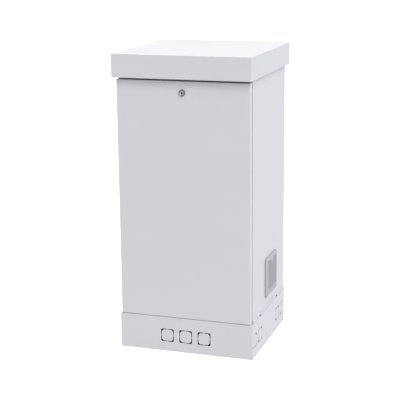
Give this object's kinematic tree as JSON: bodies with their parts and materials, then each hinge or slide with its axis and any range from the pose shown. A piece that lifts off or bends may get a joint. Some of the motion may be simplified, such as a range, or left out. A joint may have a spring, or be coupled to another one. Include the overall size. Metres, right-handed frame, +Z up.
{
  "type": "outdoor rack cabinet",
  "caption": "White sheet-steel rack cabinet on a plinth, with an overhanging roof, a locking drop-down door, knock-out cable entries and a louvred filter fan low on its right side.",
  "frame": {"origin": "on the ground under the middle of the roof, which is the middle of the cabinet's box", "axes": "+Z up, -Y out of the door, +X to the right of someone who faces the door"},
  "size_m": [0.624, 0.65, 1.33],
  "materials": {
    "powder_coat": "fine powder coat, satin",
    "zinc_sheet": "galvanised, dull",
    "bright_steel": "zinc plated",
    "dark_steel": "blackened",
    "lock_nickel": "satin nickel",
    "black_rubber": "matte",
    "grey_plastic": "fine texture",
    "frame_plastic": "fine texture",
    "filter_fleece": "fleece",
    "black_plastic": "smooth"
  },
  "bodies": {
    "cabinet": {"plinth_front": "powder_coat", "plinth_rear": "powder_coat", "plinth_right": "powder_coat", "plinth_left": "powder_coat", "plinth_corner_angles": "zinc_sheet", "plinth_bolts": "bright_steel", "plinth_nuts": "bright_steel", "floor_pan": "zinc_sheet", "left_side_wall": "powder_coat", "right_side_wall": "powder_coat", "side_strips": "powder_coat", "side_screws": "dark_steel", "rear_panel": "powder_coat", "rear_panel_screws": "bright_steel", "front_header": "powder_coat", "front_sill": "powder_coat", "top_pan": "zinc_sheet", "top_pan_screws": "bright_steel", "roof_cover": "powder_coat", "roof_spacers": "bright_steel", "roof_studs": "bright_steel", "roof_nuts": "bright_steel", "door_gasket": "black_rubber", "right_hinge_bracket": "zinc_sheet", "left_hinge_bracket": "zinc_sheet", "hinge_screws": "bright_steel", "cable_entry_plate": "zinc_sheet", "cable_grommets": "black_rubber", "cable_plate_screws": "bright_steel", "earth_stud": "bright_steel", "earth_nut": "bright_steel", "front_right_post": "zinc_sheet", "front_left_post": "zinc_sheet", "rear_right_post": "zinc_sheet", "rear_left_post": "zinc_sheet", "lower_right_rail": "zinc_sheet", "lower_left_rail": "zinc_sheet", "upper_right_rail": "zinc_sheet", "upper_left_rail": "zinc_sheet", "post_screws": "bright_steel", "filter_frame": "frame_plastic", "filter_mat": "filter_fleece", "fan_housing": "black_plastic", "fan_screws": "bright_steel"},
    "door": {"front_door": "powder_coat", "door_inner_panel": "powder_coat", "door_panel_screws": "bright_steel", "right_hinge_lug": "zinc_sheet", "left_hinge_lug": "zinc_sheet", "right_hinge_pin": "bright_steel", "left_hinge_pin": "bright_steel", "lock_housing": "lock_nickel", "lock_nut": "lock_nickel"},
    "lock": {"lock_plug": "lock_nickel", "lock_cam": "bright_steel", "lock_cam_bolt": "bright_steel"},
    "filter_cover": {"louvre_cover": "grey_plastic"},
    "fan": {"fan_impeller": "black_plastic"}
  },
  "joints": [
    {"name": "door_tilt", "type": "hinge", "parent": "cabinet", "child": "door", "pos_m": [0, -0.2925, 0.17], "axis": [1, 0, 0], "range_deg": [0, 90]},
    {"name": "lock_turn", "type": "hinge", "parent": "door", "child": "lock", "pos_m": [0, -0.299, 1.1685], "axis": [0, -1, 0], "range_deg": [0, 90]},
    {"name": "cover_pull", "type": "slide", "parent": "cabinet", "child": "filter_cover", "axis": [1, 0, 0], "range_m": [0, 0.06]},
    {"name": "fan_spin", "type": "hinge", "parent": "cabinet", "child": "fan", "pos_m": [0.25, 0.028, 0.303], "axis": [1, 0, 0], "continuous": true}
  ]
}
